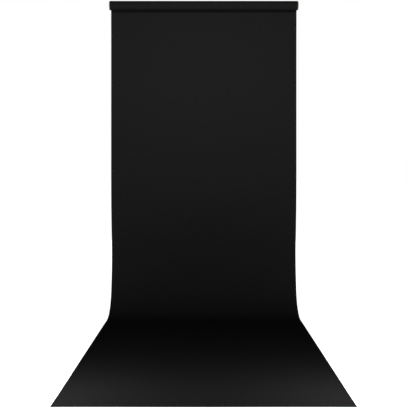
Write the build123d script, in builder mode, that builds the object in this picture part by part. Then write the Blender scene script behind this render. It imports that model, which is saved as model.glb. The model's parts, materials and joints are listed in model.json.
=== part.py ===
"""A roll of seamless backdrop paper on its paperboard core, hung from the core and swept out over the floor.

Millimetres. X runs along the roll, -Y is the front where the paper runs out, and +Z is up.
The origin is on the core's axis, half way along it, so the floor is axis_height below the origin.
The paper leaves the back of the roll, hangs, bows back a little, turns through the sweep and lies on the floor.
"""

import os
from math import cos, pi, radians, sin, sqrt

from build123d import *

# ---------------------------------------------------------------- driving dimensions
paper_width = 1350.0
paper_thickness = 0.18
paper_length = 5500.0  # the whole sheet, on and off the core

core_bore = 50.8
inner_liner_wall = 0.5
core_body_wall = 5.35
outer_liner_wall = 0.5
core_overhang = 6.0  # bare core past the paper, at each end

axis_height = 2233.0  # the core's axis above the floor
ease_radius = 2600.0  # where the hanging sheet starts to lean back
bow_radius = 1000.0  # where it comes forward again
bow_angle = 8.5  # how far it leans back, in degrees
dive_angle = 15.0  # how far it leans forward where the sweep starts, in degrees
sweep_radius = 213.0
floor_run = 1630.0  # flat on the floor, to the cut front edge
edge_strip = 60.0  # front stretch of the floor run, which slides as paper is fed

tape_thickness = 0.1
tape_width = 48.0
tape_wrap = 60.0  # length of each tape round the core
tape_count = 3
tape_edge_margin = 100.0  # from the paper's side edge to the nearest tape

sheet_gap = 0.3  # between the roll and the sheet that leaves it

# ---------------------------------------------------------------- derived sizes
inner_liner_radius = core_bore / 2 + inner_liner_wall
core_body_radius = inner_liner_radius + core_body_wall
core_radius = core_body_radius + outer_liner_wall
core_length = paper_width + 2 * core_overhang

bow, dive = radians(bow_angle), radians(dive_angle)
lean_height = (ease_radius + bow_radius) * sin(bow) + bow_radius * sin(dive)
sweep_height = sweep_radius * (1 - sin(dive))
straight_drop = axis_height - lean_height - sweep_height

hung_length = (
    straight_drop
    + (ease_radius + bow_radius) * bow
    + bow_radius * dive
    + sweep_radius * (pi / 2 - dive)
)
wound_length = paper_length - hung_length - floor_run
wound_radius = sqrt(core_radius**2 + paper_thickness * wound_length / pi)

sheet_back = wound_radius + sheet_gap + paper_thickness  # the hanging sheet's rear face
bow_depth = (ease_radius + bow_radius) * (1 - cos(bow))
sweep_top_y = sheet_back + bow_depth - bow_radius * (1 - cos(dive))
landing_y = sweep_top_y - sweep_radius * cos(dive)


def tube(outer_radius, wall, length):
    """A round tube along X, centred on the origin."""
    with BuildPart() as made:
        with BuildSketch(Plane.YZ):
            Circle(outer_radius)
            Circle(outer_radius - wall, mode=Mode.SUBTRACT)
        extrude(amount=length / 2, both=True)
    return made


# ---------------------------------------------------------------- core: three glued layers of wound paperboard
core_inner_liner = tube(inner_liner_radius, inner_liner_wall, core_length)
core_body = tube(core_body_radius, core_body_wall, core_length)
core_outer_liner = tube(core_radius, outer_liner_wall, core_length)


# ---------------------------------------------------------------- tapes that hold the paper's inner end to the core
tape_pitch = (paper_width - 2 * tape_edge_margin - tape_width) / (tape_count - 1)
tape_angle = tape_wrap / core_radius * 180 / pi

with BuildPart() as starter_tapes:
    for number in range(tape_count):
        tape_middle = (number - (tape_count - 1) / 2) * tape_pitch
        with BuildSketch(Plane.YZ.offset(tape_middle)) as tape_section:
            with BuildLine():
                inner_arc = CenterArc((0, 0), core_radius, -tape_angle / 2, tape_angle)
                outer_arc = CenterArc((0, 0), core_radius + tape_thickness, -tape_angle / 2, tape_angle)
                Line(inner_arc @ 0, outer_arc @ 0)
                Line(inner_arc @ 1, outer_arc @ 1)
            make_face()
        extrude(amount=tape_width / 2, both=True)


# ---------------------------------------------------------------- paper still on the core, as one pack of turns
with BuildPart() as wound_paper:
    with BuildSketch(Plane.YZ):
        Circle(wound_radius)
        Circle(core_radius, mode=Mode.SUBTRACT)
    extrude(amount=paper_width / 2, both=True)
    add(starter_tapes.part, mode=Mode.SUBTRACT)


# ---------------------------------------------------------------- paper off the roll
def sheet_of(rear_face):
    """The sheet whose rear or lower face follows that open line in the YZ plane, as wide as the paper."""
    with BuildPart() as made:
        with BuildSketch(Plane.YZ):
            with BuildLine():
                add(rear_face)
                offset(amount=paper_thickness, side=Side.RIGHT)
            make_face()
        extrude(amount=paper_width / 2, both=True)
    return made


DOWN, FORWARD = (0, -1), (-1, 0)
leaning_back = (sin(bow), -cos(bow))
leaning_forward = (-sin(dive), -cos(dive))

with BuildLine() as drop_line:
    Line((sheet_back, 0), (sheet_back, -straight_drop))
hanging_sheet = sheet_of(drop_line.line)

with BuildLine() as bow_line:
    ease = JernArc((sheet_back, -straight_drop), DOWN, ease_radius, bow_angle)
    JernArc(ease @ 1, leaning_back, bow_radius, -(bow_angle + dive_angle))
bowed_sheet = sheet_of(bow_line.line)

with BuildLine() as sweep_line:
    JernArc((sweep_top_y, sweep_height - axis_height), leaning_forward, sweep_radius, -(90 - dive_angle))
sweep_sheet = sheet_of(sweep_line.line)

front_edge_y = landing_y - floor_run
strip_start_y = front_edge_y + edge_strip

with BuildLine() as floor_line:
    Line((landing_y, -axis_height), (strip_start_y, -axis_height))
floor_sheet = sheet_of(floor_line.line)

with BuildLine() as strip_line:
    Line((strip_start_y, -axis_height), (front_edge_y, -axis_height))
front_edge_strip = sheet_of(strip_line.line)

# ---------------------------------------------------------------- output
pieces = {
    "core_inner_liner": core_inner_liner,
    "core_body": core_body,
    "core_outer_liner": core_outer_liner,
    "starter_tapes": starter_tapes,
    "wound_paper": wound_paper,
    "hanging_sheet": hanging_sheet,
    "bowed_sheet": bowed_sheet,
    "sweep_sheet": sweep_sheet,
    "floor_sheet": floor_sheet,
    "front_edge_strip": front_edge_strip,
}
os.makedirs("parts", exist_ok=True)
for name, piece in pieces.items():
    piece.part.label = name
    export_step(piece.part, f"parts/{name}.step")

print(f"wound length {wound_length:.1f}, wound radius {wound_radius:.3f}, hung length {hung_length:.1f}")
print(f"straight drop {straight_drop:.1f}, bow depth {bow_depth:.1f}, landing y {landing_y:.1f}")
print(f"front edge y {front_edge_y:.1f}, sheet back y {sheet_back:.3f}")
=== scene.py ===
"""Looks for a roll of black seamless background paper, hung by its core and swept out over the floor.

Metres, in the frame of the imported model: X runs along the roll, -Y is the front and +Z is up.
One continuous sheet goes once round the roll and leaves it at the back. It hangs, sweeps forward and
lies on the floor.
"""

import collections
import contextlib
import json
import math

import bmesh
import bpy
import numpy as np
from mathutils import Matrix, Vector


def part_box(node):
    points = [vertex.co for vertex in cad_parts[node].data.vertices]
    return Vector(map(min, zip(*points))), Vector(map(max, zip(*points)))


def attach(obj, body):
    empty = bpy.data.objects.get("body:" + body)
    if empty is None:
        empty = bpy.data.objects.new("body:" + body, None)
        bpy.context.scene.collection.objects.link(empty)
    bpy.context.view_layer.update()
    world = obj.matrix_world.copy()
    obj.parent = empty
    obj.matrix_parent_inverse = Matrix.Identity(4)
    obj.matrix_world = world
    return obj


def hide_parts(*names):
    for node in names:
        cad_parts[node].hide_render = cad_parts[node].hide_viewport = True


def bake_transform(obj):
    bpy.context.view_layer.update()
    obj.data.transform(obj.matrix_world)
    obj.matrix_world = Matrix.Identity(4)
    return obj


bl_info = {
    "name": "Background Paper Roll",
    "version": (1, 0, 0),
    "blender": (4, 5, 0),
    "location": "View3D > Sidebar > Paper Roll",
    "description": "Builds a roll of black paper with its core, tapes, hanging sheet and studio light",
    "category": "Add Mesh",
}

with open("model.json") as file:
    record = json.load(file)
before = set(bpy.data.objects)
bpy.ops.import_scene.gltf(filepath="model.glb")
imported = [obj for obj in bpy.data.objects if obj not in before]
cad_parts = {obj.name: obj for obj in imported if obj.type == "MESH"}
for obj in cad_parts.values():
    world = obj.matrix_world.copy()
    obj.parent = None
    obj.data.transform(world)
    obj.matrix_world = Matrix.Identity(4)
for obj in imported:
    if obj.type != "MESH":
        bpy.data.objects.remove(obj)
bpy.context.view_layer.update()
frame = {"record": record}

MM = 0.001
TURN = 2 * math.pi

Corner = collections.namedtuple("Corner", "x y z")
Box = collections.namedtuple("Box", "low high")


def box_of(node):
    """The box round a CAD node, as its lowest and highest corners."""
    low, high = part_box(node)
    return Box(Corner(*low), Corner(*high))


HANGING = box_of("hanging_sheet")
LYING = box_of("floor_sheet")
STRIP = box_of("front_edge_strip")
WOUND = box_of("wound_paper")
CORE_COVER = box_of("core_outer_liner")
CORE_BOARD = box_of("core_body")
CORE_LINING = box_of("core_inner_liner")
TAPES = box_of("starter_tapes")
FLOOR = LYING.low.z


# ---------------------------------------------------------------- small helpers
def srgb(code):
    """An sRGB hex colour, such as 1a1a1b, as linear numbers with full alpha."""
    linear = []
    for start in (0, 2, 4):
        value = int(code[start : start + 2], 16) / 255
        linear.append(value / 12.92 if value <= 0.04045 else ((value + 0.055) / 1.055) ** 2.4)
    return (*linear, 1.0)


def per_metre(size_mm):
    """The texture scale whose features are about that size, on coordinates in metres."""
    return 1000.0 / size_mm


def add_node(tree, kind, settings=None, inputs=None):
    """Adds a node, sets its properties, and sets or links its inputs."""
    node = tree.nodes.new(kind)
    for name, value in (settings or {}).items():
        setattr(node, name, value)
    for key, value in (inputs or {}).items():
        if isinstance(value, bpy.types.NodeSocket):
            tree.links.new(value, node.inputs[key])
        else:
            node.inputs[key].default_value = value
    return node


def smooth(value, low, high):
    """0 below low, 1 above high, and an even S between them."""
    t = np.clip((value - low) / (high - low), 0.0, 1.0)
    return t * t * (3 - 2 * t)


def shade_smooth(mesh, sharp_degrees):
    """Smooth faces, with an edge kept sharp where it turns by more than that."""
    mesh.polygons.foreach_set("use_smooth", [True] * len(mesh.polygons))
    mesh.set_sharp_from_angle(angle=math.radians(sharp_degrees))


def new_object(name, mesh, material):
    """An object at the origin with that mesh and only that material."""
    piece = bpy.data.objects.new(name, mesh)
    bpy.context.scene.collection.objects.link(piece)
    mesh.materials.clear()
    mesh.materials.append(material)
    return piece


@contextlib.contextmanager
def edited(mesh):
    """The mesh opened for editing, and written back at the end."""
    work = bmesh.new()
    work.from_mesh(mesh)
    yield work
    work.to_mesh(mesh)
    work.free()


def face_outwards(mesh, weld):
    """Merges doubles and turns every face outwards."""
    with edited(mesh) as work:
        bmesh.ops.remove_doubles(work, verts=work.verts, dist=weld)
        bmesh.ops.recalc_face_normals(work, faces=work.faces)


def flip_if_inside_out(mesh):
    """Turns a closed mesh whose volume comes out negative."""
    with edited(mesh) as work:
        if work.calc_volume(signed=True) < 0:
            bmesh.ops.reverse_faces(work, faces=work.faces)


def split_along_short_diagonals(mesh):
    """Splits slanting quads so that the surface stays round."""
    with edited(mesh) as work:
        bmesh.ops.triangulate(work, faces=work.faces, quad_method="SHORT_EDGE")


def vertex_of_corner(mesh):
    """The number of the vertex at each corner of each face."""
    corner = np.zeros(len(mesh.loops), dtype=np.int32)
    mesh.loops.foreach_get("vertex_index", corner)
    return corner


def mesh_from_grid(name, points, close_columns, close_rows):
    """A mesh of quads over points[row][column], closed round in either direction as asked."""
    rows, columns = points.shape[:2]
    index = np.arange(rows * columns).reshape(rows, columns)
    if close_columns:
        index = np.concatenate([index, index[:, :1]], axis=1)
    if close_rows:
        index = np.concatenate([index, index[:1]], axis=0)
    quads = np.stack([index[:-1, :-1], index[:-1, 1:], index[1:, 1:], index[1:, :-1]], axis=-1)
    mesh = bpy.data.meshes.new(name)
    mesh.from_pydata(points.reshape(-1, 3).tolist(), [], quads.reshape(-1, 4).tolist())
    return mesh


# ---------------------------------------------------------------- sizes and colours a user would change
class PaperSettings(bpy.types.PropertyGroup):
    """The sheet's own path and its small natural unevenness."""

    thickness: bpy.props.FloatProperty(
        name="Thickness",
        description="Thickness of the paper",
        default=HANGING.high.y - HANGING.low.y,
        unit="LENGTH",
    )
    ease_radius: bpy.props.FloatProperty(
        name="Ease radius",
        description="Radius where the hanging sheet starts to lean back",
        default=2.6,
        unit="LENGTH",
    )
    bow_radius: bpy.props.FloatProperty(
        name="Bow radius",
        description="Radius where the leaning sheet comes forward again",
        default=1.0,
        unit="LENGTH",
    )
    bow_angle: bpy.props.FloatProperty(
        name="Bow angle",
        description="How far the sheet leans back",
        default=math.radians(8.5),
        subtype="ANGLE",
    )
    dive_angle: bpy.props.FloatProperty(
        name="Dive angle",
        description="How far the sheet leans forward where the sweep starts",
        default=math.radians(15.0),
        subtype="ANGLE",
    )
    sweep_radius: bpy.props.FloatProperty(
        name="Sweep radius",
        description="Radius of the sweep from wall to floor",
        default=0.213,
        unit="LENGTH",
    )
    ripple: bpy.props.FloatProperty(
        name="Ripple",
        description="Height of the soft upright waves in the hanging sheet",
        default=1.4 * MM,
        unit="LENGTH",
    )
    edge_curl: bpy.props.FloatProperty(
        name="Edge curl",
        description="How far the side edges curl away from flat",
        default=2.5 * MM,
        unit="LENGTH",
    )
    front_lift: bpy.props.FloatProperty(
        name="Front lift",
        description="How far the cut front edge lifts, from its memory of the roll",
        default=1.2 * MM,
        unit="LENGTH",
    )
    dark: bpy.props.StringProperty(
        name="Dark fibres",
        description="sRGB hex colour of the darkest fibres",
        default="111111",
    )
    light: bpy.props.StringProperty(
        name="Light fibres",
        description="sRGB hex colour of the lightest fibres",
        default="202020",
    )


class WoundSettings(bpy.types.PropertyGroup):
    """The turns that are still on the core."""

    drift: bpy.props.FloatProperty(
        name="Edge drift",
        description="How far a turn's edge stands proud of the next",
        default=0.6 * MM,
        unit="LENGTH",
    )
    air: bpy.props.FloatProperty(
        name="Air",
        description="Air between one turn and the next",
        default=0.012 * MM,
        unit="LENGTH",
    )
    steps: bpy.props.IntProperty(
        name="Steps",
        description="Straight steps in each turn",
        default=120,
    )
    seed: bpy.props.IntProperty(
        name="Seed",
        description="Picks another drift of the turns' edges",
        default=4,
    )


class CoreSettings(bpy.types.PropertyGroup):
    """The spiral-wound paperboard tube."""

    strip_width: bpy.props.FloatProperty(
        name="Strip width",
        description="Width of the paper strip that each ply is wound from",
        default=0.1,
        unit="LENGTH",
    )
    seam_width: bpy.props.FloatProperty(
        name="Seam width",
        description="Gap between neighbouring turns of a liner's strip",
        default=0.9 * MM,
        unit="LENGTH",
    )
    seam_depth: bpy.props.FloatProperty(
        name="Seam depth",
        description="Depth of that gap",
        default=0.18 * MM,
        unit="LENGTH",
    )
    crush: bpy.props.FloatProperty(
        name="Crush",
        description="How far the cut ends of the liners are rounded by handling",
        default=0.3 * MM,
        unit="LENGTH",
    )
    plies: bpy.props.IntProperty(
        name="Board plies",
        description="Plies of board between the two liners",
        default=11,
    )
    kraft_dark: bpy.props.StringProperty(
        name="Dark kraft",
        description="sRGB hex colour of the liner's darker fibres",
        default="6a5a4b",
    )
    kraft_light: bpy.props.StringProperty(
        name="Light kraft",
        description="sRGB hex colour of the liner's lighter fibres",
        default="94816c",
    )
    board_dark: bpy.props.StringProperty(
        name="Dark board",
        description="sRGB hex colour of the board's darker plies",
        default="7b6a58",
    )
    board_light: bpy.props.StringProperty(
        name="Light board",
        description="sRGB hex colour of the board's lighter plies",
        default="ab967d",
    )


class TapeSettings(bpy.types.PropertyGroup):
    """The tapes that hold the paper's inner end to the core."""

    count: bpy.props.IntProperty(
        name="Count",
        description="Number of tapes along the core",
        default=3,
    )
    width: bpy.props.FloatProperty(
        name="Width",
        description="Width of each tape",
        default=48 * MM,
        unit="LENGTH",
    )
    colour: bpy.props.StringProperty(
        name="Colour",
        description="sRGB hex colour of the tape",
        default="dcc58e",
    )


class StageSettings(bpy.types.PropertyGroup):
    """The camera and the studio light."""

    lens: bpy.props.FloatProperty(
        name="Lens",
        description="Focal length on a sensor 36 mm wide",
        default=55.8,
    )
    distance: bpy.props.FloatProperty(
        name="Distance",
        description="From the camera to the core's axis",
        default=4.57,
        unit="LENGTH",
    )
    height: bpy.props.FloatProperty(
        name="Height",
        description="Height of the camera above the floor",
        default=1.034,
        unit="LENGTH",
    )
    rise: bpy.props.FloatProperty(
        name="Rise",
        description="Upward shift of the view, as a share of its width",
        default=-0.0793,
    )
    aside: bpy.props.FloatProperty(
        name="Aside",
        description="How far the camera stands to the right of the middle",
        default=1.5 * MM,
        unit="LENGTH",
    )
    horizon: bpy.props.FloatProperty(
        name="Horizon light",
        description="Brightness of the studio's walls",
        default=1.0,
    )
    ceiling: bpy.props.FloatProperty(
        name="Ceiling light",
        description="Brightness of the studio's ceiling",
        default=0.01,
    )
    floor_glow: bpy.props.FloatProperty(
        name="Floor glow",
        description="Light that the lit floor gives off",
        default=0.95,
    )
    key_power: bpy.props.FloatProperty(
        name="Key power",
        description="Power of the gridded softbox high in front, aimed at the upper sheet",
        default=8.8,
        subtype="POWER",
    )
    rear_power: bpy.props.FloatProperty(
        name="Rear power",
        description="Power of the softbox behind, which shows the back of the sheet",
        default=100.0,
        subtype="POWER",
    )
    middle_power: bpy.props.FloatProperty(
        name="Middle power",
        description="Power of the low strip light over the middle of the front edge",
        default=2.6,
        subtype="POWER",
    )
    corner_power: bpy.props.FloatProperty(
        name="Corner power",
        description="Power of each low light over a front corner",
        default=5.6,
        subtype="POWER",
    )


# ---------------------------------------------------------------- materials
def principled(name, settings):
    """A new material with one Principled shader. Returns the material, its tree and the shader."""
    material = bpy.data.materials.new(name)
    material.use_nodes = True
    tree = material.node_tree
    tree.nodes.clear()
    shader = add_node(tree, "ShaderNodeBsdfPrincipled", inputs=settings)
    add_node(tree, "ShaderNodeOutputMaterial", inputs={"Surface": shader.outputs["BSDF"]})
    return material, tree, shader


def black_seamless_paper():
    """Wood-pulp paper dyed black through the sheet, calendered but uncoated.

    It is quite matt, with no shine even at a low angle, and a little lighter where the fibres clump.
    """
    paper = bpy.context.scene.paper_sheet
    material, tree, shader = principled("black_seamless_paper", {"Specular IOR Level": 0.0})
    place = add_node(tree, "ShaderNodeTexCoord").outputs["UV"]
    # Fibres lie along the machine direction, the sheet's length, so the pattern is drawn out that way.
    drawn_out = add_node(
        tree, "ShaderNodeMapping", inputs={"Vector": place, "Scale": (1.0, 0.4, 1.0)}
    ).outputs["Vector"]
    # Real fibres are under 0.1 mm wide, too fine to show, so these are clumps of them.
    fibres = add_node(
        tree,
        "ShaderNodeTexNoise",
        inputs={"Vector": drawn_out, "Scale": per_metre(0.9), "Detail": 4.0, "Roughness": 0.65},
    ).outputs["Fac"]
    clouds = add_node(
        tree,
        "ShaderNodeTexNoise",
        inputs={"Vector": place, "Scale": per_metre(14.0), "Detail": 4.0, "Roughness": 0.55},
    ).outputs["Fac"]
    both = add_node(
        tree,
        "ShaderNodeMix",
        {"data_type": "FLOAT"},
        {"Factor": 0.35, "A": fibres, "B": clouds},
    ).outputs["Result"]
    tone = add_node(
        tree,
        "ShaderNodeMapRange",
        inputs={"Value": both, "From Min": 0.32, "From Max": 0.68},
    ).outputs["Result"]
    colour = add_node(
        tree,
        "ShaderNodeMix",
        {"data_type": "RGBA"},
        {"Factor": tone, "A": srgb(paper.dark), "B": srgb(paper.light)},
    ).outputs["Result"]
    roughness = add_node(
        tree,
        "ShaderNodeMapRange",
        inputs={"Value": both, "From Min": 0.32, "From Max": 0.68, "To Min": 0.68, "To Max": 0.8},
    ).outputs["Result"]
    bump = add_node(
        tree,
        "ShaderNodeBump",
        inputs={"Height": fibres, "Strength": 0.9, "Distance": 0.08 * MM},
    ).outputs["Normal"]
    tree.links.new(colour, shader.inputs["Base Color"])
    tree.links.new(roughness, shader.inputs["Roughness"])
    tree.links.new(bump, shader.inputs["Normal"])
    return material


def radius_about_core(tree):
    """The distance from the core's axis, in metres."""
    place = add_node(tree, "ShaderNodeTexCoord").outputs["Object"]
    across = add_node(
        tree, "ShaderNodeVectorMath", {"operation": "MULTIPLY"}, {0: place, 1: (0.0, 1.0, 1.0)}
    ).outputs["Vector"]
    return add_node(tree, "ShaderNodeVectorMath", {"operation": "LENGTH"}, {0: across}).outputs["Value"]


def kraft_liner():
    """Unbleached kraft paper, wound and glued.

    It is a greyed tan, smooth and faintly satin, with long fibres, soft clouds and a few dark flecks.
    """
    core = bpy.context.scene.paper_core
    material, tree, shader = principled("kraft_liner", {"Specular IOR Level": 0.35})
    place = add_node(tree, "ShaderNodeTexCoord").outputs["UV"]
    drawn_out = add_node(
        tree, "ShaderNodeMapping", inputs={"Vector": place, "Scale": (1.0, 0.14, 1.0)}
    ).outputs["Vector"]
    fibres = add_node(
        tree,
        "ShaderNodeTexNoise",
        inputs={"Vector": drawn_out, "Scale": per_metre(0.4), "Detail": 3.0, "Roughness": 0.6},
    ).outputs["Fac"]
    clouds = add_node(
        tree,
        "ShaderNodeTexNoise",
        inputs={"Vector": place, "Scale": per_metre(7.0), "Detail": 4.0, "Roughness": 0.6},
    ).outputs["Fac"]
    both = add_node(
        tree,
        "ShaderNodeMix",
        {"data_type": "FLOAT"},
        {"Factor": 0.6, "A": fibres, "B": clouds},
    ).outputs["Result"]
    flecks = add_node(
        tree,
        "ShaderNodeTexVoronoi",
        inputs={"Vector": drawn_out, "Scale": per_metre(3.5)},
    ).outputs["Distance"]
    fleck = add_node(
        tree,
        "ShaderNodeMapRange",
        inputs={"Value": flecks, "From Min": 0.03, "From Max": 0.09, "To Min": 0.45, "To Max": 1.0},
    ).outputs["Result"]
    tone = add_node(
        tree, "ShaderNodeMapRange", inputs={"Value": both, "From Min": 0.2, "From Max": 0.8}
    ).outputs["Result"]
    flecked = add_node(
        tree, "ShaderNodeMath", {"operation": "MULTIPLY"}, {0: tone, 1: fleck}
    ).outputs["Value"]
    colour = add_node(
        tree,
        "ShaderNodeMix",
        {"data_type": "RGBA"},
        {"Factor": flecked, "A": srgb(core.kraft_dark), "B": srgb(core.kraft_light)},
    ).outputs["Result"]
    roughness = add_node(
        tree,
        "ShaderNodeMapRange",
        inputs={"Value": both, "From Min": 0.3, "From Max": 0.7, "To Min": 0.5, "To Max": 0.66},
    ).outputs["Result"]
    bump = add_node(
        tree,
        "ShaderNodeBump",
        inputs={"Height": fibres, "Strength": 0.15, "Distance": 0.03 * MM},
    ).outputs["Normal"]
    tree.links.new(colour, shader.inputs["Base Color"])
    tree.links.new(roughness, shader.inputs["Roughness"])
    tree.links.new(bump, shader.inputs["Normal"])
    return material


def recycled_board():
    """Grey-brown recycled board, sawn across.

    It is dull and speckled with pulp, with a dark line of glue between one ply and the next.
    """
    core = bpy.context.scene.paper_core
    material, tree, shader = principled("recycled_board", {"Specular IOR Level": 0.2, "Roughness": 0.88})
    radius = radius_about_core(tree)
    inner, wall = CORE_LINING.high.z, CORE_BOARD.high.z - CORE_LINING.high.z
    across_plies = add_node(
        tree,
        "ShaderNodeMapRange",
        {"clamp": False},
        {"Value": radius, "From Min": inner, "From Max": inner + wall, "To Max": float(core.plies)},
    ).outputs["Result"]
    in_ply = add_node(
        tree, "ShaderNodeMath", {"operation": "FRACT"}, {0: across_plies}
    ).outputs["Value"]
    from_glue = add_node(
        tree, "ShaderNodeMath", {"operation": "PINGPONG"}, {0: in_ply, 1: 0.5}
    ).outputs["Value"]
    place = add_node(tree, "ShaderNodeTexCoord").outputs["Object"]
    pulp = add_node(
        tree,
        "ShaderNodeTexNoise",
        inputs={"Vector": place, "Scale": per_metre(0.7), "Detail": 5.0, "Roughness": 0.7},
    ).outputs["Fac"]
    glue = add_node(
        tree,
        "ShaderNodeMapRange",
        inputs={"Value": from_glue, "From Min": 0.03, "From Max": 0.2, "To Min": 0.35, "To Max": 1.0},
    ).outputs["Result"]
    tone = add_node(tree, "ShaderNodeMath", {"operation": "MULTIPLY"}, {0: pulp, 1: glue}).outputs["Value"]
    colour = add_node(
        tree,
        "ShaderNodeMix",
        {"data_type": "RGBA"},
        {"Factor": tone, "A": srgb(core.board_dark), "B": srgb(core.board_light)},
    ).outputs["Result"]
    bump = add_node(
        tree, "ShaderNodeBump", inputs={"Height": pulp, "Strength": 0.5, "Distance": 0.15 * MM}
    ).outputs["Normal"]
    tree.links.new(colour, shader.inputs["Base Color"])
    tree.links.new(bump, shader.inputs["Normal"])
    return material


def creped_masking_tape():
    """Creped paper tape: cream, satin from its release coat, with fine ridges across its length."""
    tape = bpy.context.scene.paper_tapes
    material, tree, shader = principled("creped_masking_tape", {"Specular IOR Level": 0.4, "Roughness": 0.55})
    place = add_node(tree, "ShaderNodeTexCoord").outputs["Object"]
    # The crepe runs along the core, because the tape is stuck round it.
    ridges = add_node(
        tree, "ShaderNodeMapping", inputs={"Vector": place, "Scale": (0.15, 1.0, 1.0)}
    ).outputs["Vector"]
    crepe = add_node(
        tree,
        "ShaderNodeTexNoise",
        inputs={"Vector": ridges, "Scale": per_metre(0.8), "Detail": 2.0, "Distortion": 0.4},
    ).outputs["Fac"]
    shade = add_node(
        tree, "ShaderNodeHueSaturation", inputs={"Color": srgb(tape.colour), "Value": 0.82}
    ).outputs["Color"]
    colour = add_node(
        tree,
        "ShaderNodeMix",
        {"data_type": "RGBA"},
        {"Factor": crepe, "A": shade, "B": srgb(tape.colour)},
    ).outputs["Result"]
    bump = add_node(
        tree, "ShaderNodeBump", inputs={"Height": crepe, "Strength": 0.6, "Distance": 0.08 * MM}
    ).outputs["Normal"]
    tree.links.new(colour, shader.inputs["Base Color"])
    tree.links.new(bump, shader.inputs["Normal"])
    return material


def shared(make):
    """The material of that maker, made once."""
    made = bpy.data.materials.get(make.__name__)
    return made or make()


# ---------------------------------------------------------------- the path of the sheet
WRAP_OVERLAP = math.radians(20.0)  # how far the outer turn runs on under itself
WRAP_CLEARANCE = 0.1 * MM  # between the outer turn and the turns under it
WRAP_STEPS = 90

# The soft upright waves of the hanging sheet: the length of each, its share of the height, its phase,
# and its slant, as the change of phase in each metre down the sheet.
WAVES = (
    (0.47, 1.0, 0.6, 0.5),
    (0.29, 0.45, 2.1, -0.8),
    (0.83, 0.25, -0.7, 0.0),
)
CURLED_WIDTH = 0.06  # of each side edge
LIFTED_LENGTH = 0.12  # behind the front edge
SWELL = 0.35 * MM  # half the height of the low swells on the floor


def wrap_line(paper):
    """Points and directions in the YZ plane, once round the roll to where the sheet leaves it at the back."""
    outer = HANGING.high.y - paper.thickness / 2
    inner = WOUND.high.z + WRAP_CLEARANCE + paper.thickness / 2
    angle = np.linspace(TURN + WRAP_OVERLAP, 0.0, WRAP_STEPS, endpoint=False)
    radius = outer + (inner - outer) * angle / angle[0]
    points = np.stack([radius * np.cos(angle), radius * np.sin(angle)], axis=1)
    directions = np.stack([np.sin(angle), -np.cos(angle)], axis=1)
    return points, directions


def fall_line(paper):
    """Points and directions from where the sheet leaves the roll to its front edge.

    Each stretch is a length, a turn towards the front and a number of steps, along the sheet's middle.
    """
    half = paper.thickness / 2
    swing = paper.bow_angle + paper.dive_angle
    straight = HANGING.high.z - HANGING.low.z
    floor = LYING.high.y - STRIP.low.y
    sweep = math.pi / 2 - paper.dive_angle
    stretches = (
        (straight, 0.0, 64),
        ((paper.ease_radius + half) * paper.bow_angle, -paper.bow_angle, 18),
        ((paper.bow_radius - half) * swing, swing, 28),
        ((paper.sweep_radius - half) * sweep, sweep, 44),
        (floor, 0.0, 82),
    )
    place = np.array([HANGING.high.y - half, 0.0])
    heading = 0.0  # 0 is straight down, and a quarter turn is forwards
    points, directions = [], []
    for length, turn, steps in stretches:
        for step in range(steps):
            middle = heading + turn / steps / 2
            points.append(place.copy())
            directions.append((-math.sin(heading), -math.cos(heading)))
            chord = length / steps
            if turn:
                chord = 2 * length / abs(turn) * math.sin(abs(turn) / steps / 2)
            place += chord * np.array([-math.sin(middle), -math.cos(middle)])
            heading += turn / steps
    points.append(place.copy())
    directions.append((-math.sin(heading), -math.cos(heading)))
    return np.array(points), np.array(directions)


def unevenness(paper, across, along, hung, landing):
    """How far the sheet stands off its path, towards the front or up, at each point.

    across is measured from the middle, and along from where the sheet leaves the roll. hung and landing
    are how far along the sweep starts and the floor is reached.
    """
    half_width = HANGING.high.x
    # The sheet hangs in soft upright waves, which the roll above and the sweep below hold flat.
    hangs = smooth(along, 0.06, 0.7) * (1 - smooth(along, 0.8 * hung, hung))
    waves = sum(
        share * np.cos(TURN * across / length + phase + slant * along)
        for length, share, phase, slant in WAVES
    )
    height = paper.ripple / sum(share for _, share, _, _ in WAVES)
    # Its side edges curl back over the last few centimetres.
    curl = ((np.abs(across) - half_width + CURLED_WIDTH) / CURLED_WIDTH).clip(0, 1) ** 2
    curls = smooth(along, 0.03, 0.3) * (1 - smooth(along, 0.85 * hung, hung))
    # On the floor it lies in very low swells, and the front edge still remembers the roll.
    lies = smooth(along, landing, landing + 0.25)
    swells = SWELL * (1 + np.cos(TURN * along / 0.61) * np.cos(TURN * across / 0.9 + 0.4))
    lifted = ((along - along.max() + LIFTED_LENGTH) / LIFTED_LENGTH).clip(0, 1) ** 2
    hanging = height * hangs * waves - paper.edge_curl * curl * curls
    return hanging + lies * swells + paper.front_lift * lifted


def columns_across(half_width, count, crowding):
    """Places across the sheet, closer together near its side edges."""
    even = np.linspace(-1.0, 1.0, count)
    return half_width * ((1 - crowding) * even + crowding * np.sin(even * math.pi / 2))


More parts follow.
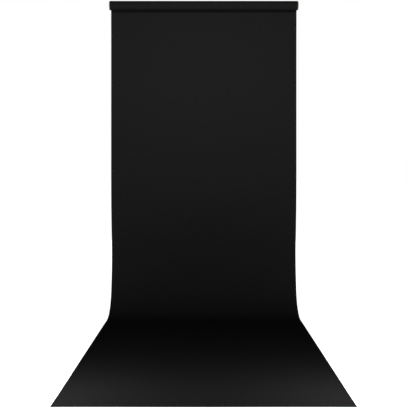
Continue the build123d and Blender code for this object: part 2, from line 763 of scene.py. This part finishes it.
def paper_sheet_mesh(paper):
    """The whole sheet as a closed shell of its real thickness, with a UV map in metres.

    Returns the mesh and the sheet's flat length.
    """
    wrap_points, wrap_directions = wrap_line(paper)
    fall_points, fall_directions = fall_line(paper)
    points = np.concatenate([wrap_points, fall_points])
    directions = np.concatenate([wrap_directions, fall_directions])
    steps = np.linalg.norm(np.diff(points, axis=0), axis=1)
    run = np.concatenate([[0.0], np.cumsum(steps)])
    along = run - run[len(wrap_points)]
    hung = (
        HANGING.high.z
        - HANGING.low.z
        + paper.ease_radius * paper.bow_angle
        + paper.bow_radius * (paper.bow_angle + paper.dive_angle)
    )
    landing = hung + paper.sweep_radius * (math.pi / 2 - paper.dive_angle)
    across = columns_across(HANGING.high.x, count=97, crowding=0.6)
    normals = np.stack([directions[:, 1], -directions[:, 0]], axis=1)
    off = unevenness(paper, across[None, :], along[:, None], hung, landing)

    def skin(side):
        """One face of the sheet, half its thickness off the middle."""
        out = off + side * paper.thickness / 2
        y = points[:, 0, None] + normals[:, 0, None] * out
        z = points[:, 1, None] + normals[:, 1, None] * out
        x = np.broadcast_to(across[None, :], y.shape)
        return np.stack([x, y, z], axis=-1)

    # One row of the closed shell goes across the front and back again along the rear.
    shell = np.concatenate([skin(1), skin(-1)[:, ::-1]], axis=1)
    mesh = mesh_from_grid("paper_sheet", shell, close_columns=True, close_rows=False)
    cap_ends(mesh, shell.shape[0], across.size)
    add_uv(mesh, np.concatenate([across, across[::-1]]), run)
    shade_smooth(mesh, 40.0)
    return mesh, float(run[-1])


def cap_ends(mesh, rows, columns):
    """Closes the first and last row of the shell with a strip of quads."""
    with edited(mesh) as work:
        work.verts.ensure_lookup_table()
        for row in (0, rows - 1):
            first = row * columns * 2
            last = first + columns * 2 - 1
            for column in range(columns - 1):
                corners = (first + column, first + column + 1, last - column - 1, last - column)
                work.faces.new([work.verts[corner] for corner in corners])
        bmesh.ops.recalc_face_normals(work, faces=work.faces)


def add_uv(mesh, across, along):
    """A UV map in metres: U across the sheet and V along it."""
    u = np.tile(across, along.size)
    v = np.repeat(along, across.size)
    corner = vertex_of_corner(mesh)
    layer = mesh.uv_layers.new(name="UVMap")
    layer.data.foreach_set("uv", np.stack([u[corner], v[corner]], axis=1).ravel())


class PAPER_OT_sheet(bpy.types.Operator):
    """Makes the one continuous sheet, from its last turn on the roll to its cut front edge"""

    bl_idname = "paper.sheet"
    bl_label = "Paper sheet"

    def execute(self, context):
        paper = context.scene.paper_sheet
        mesh, length = paper_sheet_mesh(paper)
        sheet = new_object("paper_sheet", mesh, shared(black_seamless_paper))
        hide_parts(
            "hanging_sheet", "bowed_sheet", "sweep_sheet", "floor_sheet", "front_edge_strip"
        )
        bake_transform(sheet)
        return {"FINISHED"}


# ---------------------------------------------------------------- the turns on the core
DRIFT_RUN = 260.0  # mm of paper over which a turn's edge wanders from one side to the other


def new_shape_tree(name, inputs):
    """A geometry node group with those inputs, by name and kind, and one geometry output.

    Returns the group, its input node and its output node.
    """
    tree = bpy.data.node_groups.new(name, "GeometryNodeTree")
    for label, kind in inputs.items():
        tree.interface.new_socket(name=label, in_out="INPUT", socket_type=kind)
    tree.interface.new_socket(name="Geometry", in_out="OUTPUT", socket_type="NodeSocketGeometry")
    given = add_node(tree, "NodeGroupInput")
    result = add_node(tree, "NodeGroupOutput")
    return tree, given, result


def finish_tree(tree, given, result, geometry):
    """Ends the tree in Realize Instances and Set Material."""
    real = add_node(tree, "GeometryNodeRealizeInstances", inputs={"Geometry": geometry})
    painted = add_node(
        tree,
        "GeometryNodeSetMaterial",
        inputs={"Geometry": real.outputs["Geometry"], "Material": given.outputs["Material"]},
    )
    tree.links.new(painted.outputs["Geometry"], result.inputs["Geometry"])


def lay_along_core(tree, geometry):
    """Turns what was drawn about Z to lie about X, so that its first point is at the back."""
    return add_node(
        tree,
        "GeometryNodeTransform",
        inputs={"Geometry": geometry, "Rotation": (math.pi / 2, 0.0, math.pi / 2)},
    ).outputs["Geometry"]


def plain_mesh_from(tree, name, values, material):
    """Runs the tree on an empty mesh, and returns an object that holds the result as a plain mesh."""
    seed_mesh = bpy.data.meshes.new(name + "_seed")
    piece = bpy.data.objects.new(name, seed_mesh)
    bpy.context.scene.collection.objects.link(piece)
    modifier = piece.modifiers.new(name, "NODES")
    modifier.node_group = tree
    for socket in tree.interface.items_tree:
        if socket.item_type == "SOCKET" and socket.in_out == "INPUT" and socket.name in values:
            modifier[socket.identifier] = values[socket.name]
    bpy.context.view_layer.update()
    graph = bpy.context.evaluated_depsgraph_get()
    mesh = bpy.data.meshes.new_from_object(piece.evaluated_get(graph), depsgraph=graph)
    piece.modifiers.remove(modifier)
    piece.data = mesh
    mesh.name = name
    bpy.data.meshes.remove(seed_mesh)
    mesh.materials.clear()
    mesh.materials.append(material)
    return piece


def wound_turns_tree():
    """A strip of paper wound as a spiral, its edges drifting a little from turn to turn."""
    tree, given, result = new_shape_tree(
        "Wound Turns",
        {
            "Inner Radius": "NodeSocketFloat",
            "Outer Radius": "NodeSocketFloat",
            "Turns": "NodeSocketFloat",
            "Steps": "NodeSocketInt",
            "End Angle": "NodeSocketFloat",
            "Width": "NodeSocketFloat",
            "Thickness": "NodeSocketFloat",
            "Drift": "NodeSocketFloat",
            "Seed": "NodeSocketFloat",
            "Material": "NodeSocketMaterial",
        },
    )
    of = given.outputs
    spiral = add_node(
        tree,
        "GeometryNodeCurveSpiral",
        inputs={
            "Resolution": of["Steps"],
            "Rotations": of["Turns"],
            "Start Radius": of["Inner Radius"],
            "End Radius": of["Outer Radius"],
            "Height": 0.0,
            "Reverse": True,
        },
    ).outputs["Curve"]
    swept_angle = add_node(
        tree, "ShaderNodeMath", {"operation": "MULTIPLY_ADD"}, {0: of["Turns"], 1: TURN, 2: of["End Angle"]}
    ).outputs["Value"]
    turned = add_node(
        tree,
        "GeometryNodeTransform",
        inputs={
            "Geometry": spiral,
            "Rotation": add_node(
                tree, "ShaderNodeCombineXYZ", inputs={"Z": swept_angle}
            ).outputs["Vector"],
        },
    ).outputs["Geometry"]
    upright = add_node(
        tree, "GeometryNodeSetCurveNormal", {"mode": "Z_UP"}, {"Curve": turned}
    ).outputs["Curve"]
    # Each point keeps its distance along the strip, for the drift and the UV map.
    marked = add_node(tree, "GeometryNodeCaptureAttribute", inputs={"Geometry": upright})
    marked.capture_items.new("FLOAT", "Length")
    along = add_node(tree, "GeometryNodeSplineParameter").outputs["Length"]
    tree.links.new(along, marked.inputs["Length"])
    section = add_node(
        tree,
        "GeometryNodeCurvePrimitiveQuadrilateral",
        inputs={"Width": of["Thickness"], "Height": of["Width"]},
    ).outputs["Curve"]
    strip = add_node(
        tree,
        "GeometryNodeCurveToMesh",
        inputs={"Curve": marked.outputs["Geometry"], "Profile Curve": section, "Fill Caps": True},
    ).outputs["Mesh"]
    noise_place = add_node(
        tree,
        "ShaderNodeMath",
        {"operation": "MULTIPLY_ADD"},
        {0: marked.outputs["Length"], 1: per_metre(DRIFT_RUN), 2: of["Seed"]},
    ).outputs["Value"]
    noise = add_node(
        tree,
        "ShaderNodeTexNoise",
        {"noise_dimensions": "1D"},
        {"W": noise_place, "Scale": 1.0, "Detail": 1.0},
    ).outputs["Fac"]
    aside = add_node(
        tree,
        "ShaderNodeMapRange",
        inputs={
            "Value": noise,
            "From Min": 0.25,
            "From Max": 0.75,
            "To Min": add_node(
                tree, "ShaderNodeMath", {"operation": "MULTIPLY"}, {0: of["Drift"], 1: -1.0}
            ).outputs["Value"],
            "To Max": of["Drift"],
        },
    ).outputs["Result"]
    drifted = add_node(
        tree,
        "GeometryNodeSetPosition",
        inputs={
            "Geometry": strip,
            "Offset": add_node(tree, "ShaderNodeCombineXYZ", inputs={"Z": aside}).outputs["Vector"],
        },
    ).outputs["Geometry"]
    place = add_node(
        tree,
        "ShaderNodeSeparateXYZ",
        inputs={"Vector": add_node(tree, "GeometryNodeInputPosition").outputs["Position"]},
    ).outputs["Z"]
    mapped = add_node(
        tree,
        "GeometryNodeStoreNamedAttribute",
        {"data_type": "FLOAT2", "domain": "CORNER"},
        {
            "Geometry": drifted,
            "Name": "UVMap",
            "Value": add_node(
                tree, "ShaderNodeCombineXYZ", inputs={"X": place, "Y": marked.outputs["Length"]}
            ).outputs["Vector"],
        },
    ).outputs["Geometry"]
    finish_tree(tree, given, result, lay_along_core(tree, mapped))
    return tree


class PAPER_OT_wound_turns(bpy.types.Operator):
    """Makes the turns of paper that are still wound on the core"""

    bl_idname = "paper.wound_turns"
    bl_label = "Wound turns"

    def execute(self, context):
        wound = context.scene.paper_wound
        paper = context.scene.paper_sheet
        inner = TAPES.high.y
        outer = WOUND.high.z
        turns = (outer - inner) / paper.thickness
        thickness = paper.thickness - wound.air
        material = shared(black_seamless_paper)
        turns_on_core = plain_mesh_from(
            wound_turns_tree(),
            "wound_turns",
            {
                "Inner Radius": inner + thickness / 2,
                "Outer Radius": outer - thickness / 2,
                "Turns": turns,
                "Steps": wound.steps,
                "End Angle": WRAP_OVERLAP,
                "Width": WOUND.high.x - WOUND.low.x,
                "Thickness": thickness,
                "Drift": wound.drift,
                "Seed": float(wound.seed),
                "Material": material,
            },
            material,
        )
        shade_smooth(turns_on_core.data, 40.0)
        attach(turns_on_core, "roll")
        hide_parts("wound_paper")
        return {"FINISHED"}


# ---------------------------------------------------------------- the tapes under the paper
def starter_tapes_tree():
    """One arc of tape, repeated along the core."""
    tree, given, result = new_shape_tree(
        "Starter Tapes",
        {
            "Radius": "NodeSocketFloat",
            "Thickness": "NodeSocketFloat",
            "Wrap Angle": "NodeSocketFloat",
            "Width": "NodeSocketFloat",
            "Count": "NodeSocketInt",
            "Pitch": "NodeSocketFloat",
            "Material": "NodeSocketMaterial",
        },
    )
    of = given.outputs
    half_angle = add_node(
        tree, "ShaderNodeMath", {"operation": "MULTIPLY"}, {0: of["Wrap Angle"], 1: -0.5}
    ).outputs["Value"]
    arc = add_node(
        tree,
        "GeometryNodeCurveArc",
        {"mode": "RADIUS"},
        {
            "Resolution": 48,
            "Radius": of["Radius"],
            "Start Angle": half_angle,
            "Sweep Angle": of["Wrap Angle"],
        },
    ).outputs["Curve"]
    upright = add_node(
        tree, "GeometryNodeSetCurveNormal", {"mode": "Z_UP"}, {"Curve": arc}
    ).outputs["Curve"]
    section = add_node(
        tree,
        "GeometryNodeCurvePrimitiveQuadrilateral",
        inputs={"Width": of["Thickness"], "Height": of["Width"]},
    ).outputs["Curve"]
    strip = add_node(
        tree,
        "GeometryNodeCurveToMesh",
        inputs={"Curve": upright, "Profile Curve": section, "Fill Caps": True},
    ).outputs["Mesh"]
    tape = lay_along_core(tree, strip)
    last = add_node(
        tree, "ShaderNodeMath", {"operation": "SUBTRACT"}, {0: of["Count"], 1: 1.0}
    ).outputs["Value"]
    span = add_node(
        tree, "ShaderNodeMath", {"operation": "MULTIPLY"}, {0: last, 1: of["Pitch"]}
    ).outputs["Value"]
    first = add_node(
        tree, "ShaderNodeMath", {"operation": "MULTIPLY"}, {0: span, 1: -0.5}
    ).outputs["Value"]
    places = add_node(
        tree,
        "GeometryNodeMeshLine",
        {"mode": "OFFSET"},
        {
            "Count": of["Count"],
            "Start Location": add_node(tree, "ShaderNodeCombineXYZ", inputs={"X": first}).outputs["Vector"],
            "Offset": add_node(tree, "ShaderNodeCombineXYZ", inputs={"X": of["Pitch"]}).outputs["Vector"],
        },
    ).outputs["Mesh"]
    copies = add_node(
        tree, "GeometryNodeInstanceOnPoints", inputs={"Points": places, "Instance": tape}
    ).outputs["Instances"]
    finish_tree(tree, given, result, copies)
    return tree


class PAPER_OT_starter_tapes(bpy.types.Operator):
    """Makes the tapes that hold the paper's inner end to the core"""

    bl_idname = "paper.starter_tapes"
    bl_label = "Starter tapes"

    def execute(self, context):
        tape = context.scene.paper_tapes
        thickness = TAPES.high.y - CORE_COVER.high.z
        covered = TAPES.high.x - TAPES.low.x
        material = shared(creped_masking_tape)
        tapes = plain_mesh_from(
            starter_tapes_tree(),
            "starter_tape_strips",
            {
                "Radius": TAPES.high.y - thickness / 2,
                "Thickness": thickness,
                "Wrap Angle": 2 * math.asin(TAPES.high.z / TAPES.high.y),
                "Width": tape.width,
                "Count": tape.count,
                "Pitch": (covered - tape.width) / (tape.count - 1),
                "Material": material,
            },
            material,
        )
        face_outwards(tapes.data, 0.01 * MM)
        shade_smooth(tapes.data, 40.0)
        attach(tapes, "roll")
        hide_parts("starter_tapes")
        return {"FINISHED"}


# ---------------------------------------------------------------- the core
LAYER_STEPS = 48  # in a whole turn, both round the tube and along it, so that no face cuts into the thin wall
CRUSH_STEPS = 3
CRUSH_DEPTH = 0.9  # how deep a crushed end is rounded, as a share of its length
PLY_STEP = 0.05 * MM  # how far every other ply stands back at the sawn ends
GLUE_WIDTH = 0.06 * MM
GLUE_DEPTH = 0.12 * MM
BOARD_FACETS = 96


def helical_layer_mesh(name, core, inner, outer, length, seam_outside):
    """A tube wound from a strip, with the seam between its turns as a shallow groove on one side.

    Its columns follow the strip, so the groove is a true helix, and its cut ends are a little crushed.
    UVs are in metres, U across the strip and V along it.
    """
    side_radius = outer if seam_outside else inner
    girth = TURN * side_radius
    strip_rise = core.strip_width / girth
    strip_run = math.sqrt(1 - strip_rise**2)
    pitch = core.strip_width / strip_run
    seam = core.seam_width / girth
    around = np.concatenate([[0.0, seam / 2, seam], np.linspace(seam, 1.0, LAYER_STEPS)[1:-1]])
    groove = np.where(np.arange(around.size) == 1, core.seam_depth, 0.0)
    half = length / 2
    rows = math.ceil(length / pitch * LAYER_STEPS)
    between = np.linspace(-half + core.crush, half - core.crush, rows)
    crushed = core.crush * (1 - np.cos(np.linspace(0.0, math.pi / 2, CRUSH_STEPS, endpoint=False)))
    x = np.concatenate([-half + crushed, between, half - crushed[::-1]])
    from_end = (half - np.abs(x)).clip(0.0, core.crush)
    rounded = core.crush - np.sqrt(core.crush**2 - (core.crush - from_end) ** 2)
    angle = TURN * (around[None, :] + x[:, None] / pitch)

    def surface(radius):
        """Points of the tube, at one radius or at a radius for each point."""
        out = np.broadcast_to(radius, angle.shape)
        along = np.broadcast_to(x[:, None], angle.shape)
        return np.stack([along, out * np.cos(angle), out * np.sin(angle)], axis=-1)

    # Only the open side is crushed and grooved: the other is glued to the board.
    worn = CRUSH_DEPTH * rounded[:, None] + groove
    outside = surface(outer - worn if seam_outside else outer)
    inside = surface(inner if seam_outside else inner + worn)
    wall = np.concatenate([outside, inside[::-1]], axis=0)
    mesh = mesh_from_grid(name, wall, close_columns=True, close_rows=True)
    u = np.broadcast_to(around[None, :] * core.strip_width, angle.shape)
    v = strip_run * side_radius * angle + strip_rise * x[:, None]
    both_u = np.concatenate([u, u[::-1]]).ravel()
    both_v = np.concatenate([v, v[::-1]]).ravel()
    corner = vertex_of_corner(mesh)
    uv = np.stack([both_u[corner], both_v[corner]], axis=1).reshape(-1, 4, 2)
    # A face that closes the turn goes on past the strip's edge, instead of back across it.
    closing = (uv[:, :, 0].max(axis=1) - uv[:, :, 0].min(axis=1)) > core.strip_width / 2
    wrapped = closing[:, None] & (uv[:, :, 0] < core.strip_width / 2)
    uv[:, :, 0] += wrapped * core.strip_width
    uv[:, :, 1] += wrapped * girth * strip_run
    layer = mesh.uv_layers.new(name="UVMap")
    layer.data.foreach_set("uv", uv.ravel())
    split_along_short_diagonals(mesh)
    flip_if_inside_out(mesh)
    shade_smooth(mesh, 50.0)
    return mesh


def board_tube_mesh(core, inner, outer, length):
    """The board plies as one lathe-turned tube.

    Its sawn ends are stepped a little from ply to ply, with a line of glue cut in between.
    """
    ply = (outer - inner) / core.plies
    end = []
    for number in range(core.plies):
        start = inner + number * ply
        back = PLY_STEP * (number % 2)
        end += [
            (start + GLUE_WIDTH / 2, GLUE_DEPTH),
            (start + GLUE_WIDTH, back),
            (start + ply - GLUE_WIDTH, back),
            (start + ply - GLUE_WIDTH / 2, GLUE_DEPTH),
        ]
    end[0] = (inner, PLY_STEP)
    end[-1] = (outer, PLY_STEP)
    profile = [(length / 2 - back, radius) for radius, back in end]
    profile += [(back - length / 2, radius) for radius, back in reversed(end)]
    x, radius = np.array(profile).T[:, :, None]
    angle = np.linspace(0.0, TURN, BOARD_FACETS, endpoint=False)
    along = np.broadcast_to(x, (len(profile), BOARD_FACETS))
    points = np.stack([along, radius * np.cos(angle), radius * np.sin(angle)], axis=-1)
    mesh = mesh_from_grid("core_board_plies", points, close_columns=True, close_rows=True)
    flip_if_inside_out(mesh)
    shade_smooth(mesh, 30.0)
    return mesh


def bore_radius():
    """The bore's radius, from the record's mount."""
    mounts = {mount["name"]: mount for mount in frame["record"]["mounts"]}
    return mounts["core_bore"]["dims"]["r_mm"] * MM


class PAPER_OT_core(bpy.types.Operator):
    """Makes the three glued layers of the spiral-wound core"""

    bl_idname = "paper.core"
    bl_label = "Core"

    def execute(self, context):
        core = context.scene.paper_core
        length = CORE_COVER.high.x - CORE_COVER.low.x
        radii = [bore_radius(), CORE_LINING.high.z, CORE_BOARD.high.z, CORE_COVER.high.z]
        lining = helical_layer_mesh("core_lining", core, radii[0], radii[1], length, seam_outside=False)
        board = board_tube_mesh(core, radii[1], radii[2], length)
        cover = helical_layer_mesh("core_cover", core, radii[2], radii[3], length, seam_outside=True)
        for mesh, make, node, slot in (
            (lining, kraft_liner, "core_inner_liner", "core_liner"),
            (board, recycled_board, "core_body", "core_board"),
            (cover, kraft_liner, "core_outer_liner", "core_liner"),
        ):
            layer = new_object(mesh.name, mesh, shared(make))
            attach(layer, "roll")
            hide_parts(node)
        return {"FINISHED"}


# ---------------------------------------------------------------- stage
WALLS_END = math.radians(16.0)  # how high above the horizon the studio's walls stay bright
CEILING_START = math.radians(32.0)  # above this, the studio is all ceiling


def studio_world(stage):
    """A pale studio all round: bright walls at eye level that fade to a dark ceiling."""
    world = bpy.data.worlds.new("studio")
    bpy.context.scene.world = world
    world.use_nodes = True
    tree = world.node_tree
    tree.nodes.clear()
    direction = add_node(tree, "ShaderNodeTexCoord").outputs["Generated"]
    up = add_node(tree, "ShaderNodeSeparateXYZ", inputs={"Vector": direction}).outputs["Z"]
    fade = add_node(
        tree,
        "ShaderNodeMapRange",
        {"interpolation_type": "SMOOTHSTEP"},
        {
            "Value": up,
            "From Min": math.sin(WALLS_END),
            "From Max": math.sin(CEILING_START),
            "To Min": stage.horizon,
            "To Max": stage.ceiling,
        },
    ).outputs["Result"]
    background = add_node(
        tree, "ShaderNodeBackground", inputs={"Color": (1.0, 1.0, 1.0, 1.0), "Strength": fade}
    )
    add_node(tree, "ShaderNodeOutputWorld", inputs={"Surface": background.outputs["Background"]})


def studio_floor(stage):
    """A wide, plain white floor that is lit so evenly that it shows no edge."""
    material, tree, shader = principled(
        "white_studio_floor",
        {
            "Base Color": srgb("c8c8c8"),
            "Roughness": 0.9,
            "Specular IOR Level": 0.1,
            "Emission Color": (1.0, 1.0, 1.0, 1.0),
            "Emission Strength": stage.floor_glow,
        },
    )
    level = FLOOR - 0.3 * MM  # just clear of the paper
    reach = 60.0
    mesh = bpy.data.meshes.new("studio_floor")
    corners = [(-reach, -reach, level), (reach, -reach, level), (reach, reach, level), (-reach, reach, level)]
    mesh.from_pydata(corners, [], [(0, 1, 2, 3)])
    floor = new_object("studio_floor", mesh, material)


def softbox(name, place, target, size, power, spread=math.pi):
    """An area light at place, facing target, whose grid keeps its light within the spread."""
    light = bpy.data.lights.new(name, "AREA")
    light.shape = "RECTANGLE"
    light.size, light.size_y = size
    light.energy = power
    light.spread = spread
    lamp = bpy.data.objects.new(name, light)
    bpy.context.scene.collection.objects.link(lamp)
    lamp.location = place
    lamp.visible_camera = False
    away = [place[axis] - target[axis] for axis in range(3)]
    turn = math.atan2(away[0], -away[1])
    tip = math.atan2(math.hypot(away[0], away[1]), away[2])
    lamp.rotation_euler = (tip, 0.0, turn)
    return lamp


class PAPER_OT_stage(bpy.types.Operator):
    """Makes the camera, the pale floor and the soft studio light"""

    bl_idname = "paper.stage"
    bl_label = "Stage"

    def execute(self, context):
        stage = context.scene.paper_stage
        lens = bpy.data.cameras.new("camera")
        lens.lens = stage.lens
        lens.sensor_width = 36.0
        lens.shift_y = stage.rise
        lens.clip_end = 200.0
        camera = bpy.data.objects.new("camera", lens)
        context.scene.collection.objects.link(camera)
        camera.location = (stage.aside, -stage.distance, FLOOR + stage.height)
        camera.rotation_euler = (math.pi / 2, 0.0, 0.0)
        context.scene.camera = camera
        studio_world(stage)
        studio_floor(stage)
        high_in_front, upper_sheet = (0.0, -4.2, FLOOR + 3.0), (0.0, 0.0, FLOOR + 1.7)
        behind, middle_sheet = (0.0, 5.2, FLOOR + 1.5), (0.0, 0.0, FLOOR + 1.3)
        grid = math.radians(40.0)
        softbox("key_softbox", high_in_front, upper_sheet, (2.4, 0.6), stage.key_power, spread=grid)
        softbox("rear_softbox", behind, middle_sheet, (2.4, 1.2), stage.rear_power)
        # Three small lights hang low over the front edge, one at each corner and a longer one between.
        edge = STRIP.low.y + 0.08
        for name, across, size, power in (
            ("middle_strip_light", 0.0, (1.0, 0.2), stage.middle_power),
            ("left_corner_light", -0.72, (0.2, 0.2), stage.corner_power),
            ("right_corner_light", 0.72, (0.2, 0.2), stage.corner_power),
        ):
            softbox(name, (across, edge, FLOOR + 0.5), (across, edge, FLOOR), size, power)
        context.scene.view_settings.view_transform = "Standard"
        return {"FINISHED"}


class PAPER_PT_roll(bpy.types.Panel):
    """Lists the roll's pieces and their sizes"""

    bl_idname = "PAPER_PT_roll"
    bl_label = "Background Paper Roll"
    bl_space_type = "VIEW_3D"
    bl_region_type = "UI"
    bl_category = "Paper Roll"

    def draw(self, context):
        for group, operator in STEPS:
            column = self.layout.column(align=True)
            settings = getattr(context.scene, group)
            for name in settings.__annotations__:
                column.prop(settings, name)
            column.operator(operator)


GROUPS = {
    "paper_sheet": PaperSettings,
    "paper_wound": WoundSettings,
    "paper_core": CoreSettings,
    "paper_tapes": TapeSettings,
    "paper_stage": StageSettings,
}
STEPS = (
    ("paper_stage", "paper.stage"),
    ("paper_core", "paper.core"),
    ("paper_tapes", "paper.starter_tapes"),
    ("paper_wound", "paper.wound_turns"),
    ("paper_sheet", "paper.sheet"),
)
CLASSES = (
    *GROUPS.values(),
    PAPER_OT_stage,
    PAPER_OT_core,
    PAPER_OT_starter_tapes,
    PAPER_OT_wound_turns,
    PAPER_OT_sheet,
    PAPER_PT_roll,
)


def register():
    for item in CLASSES:
        bpy.utils.register_class(item)
    for name, group in GROUPS.items():
        setattr(bpy.types.Scene, name, bpy.props.PointerProperty(type=group))


def unregister():
    for name in GROUPS:
        delattr(bpy.types.Scene, name)
    for item in reversed(CLASSES):
        bpy.utils.unregister_class(item)


def main():
    register()
    bpy.ops.paper.stage()
    bpy.ops.paper.core()
    bpy.ops.paper.starter_tapes()
    bpy.ops.paper.wound_turns()
    bpy.ops.paper.sheet()


if __name__ == "__main__":
    main()
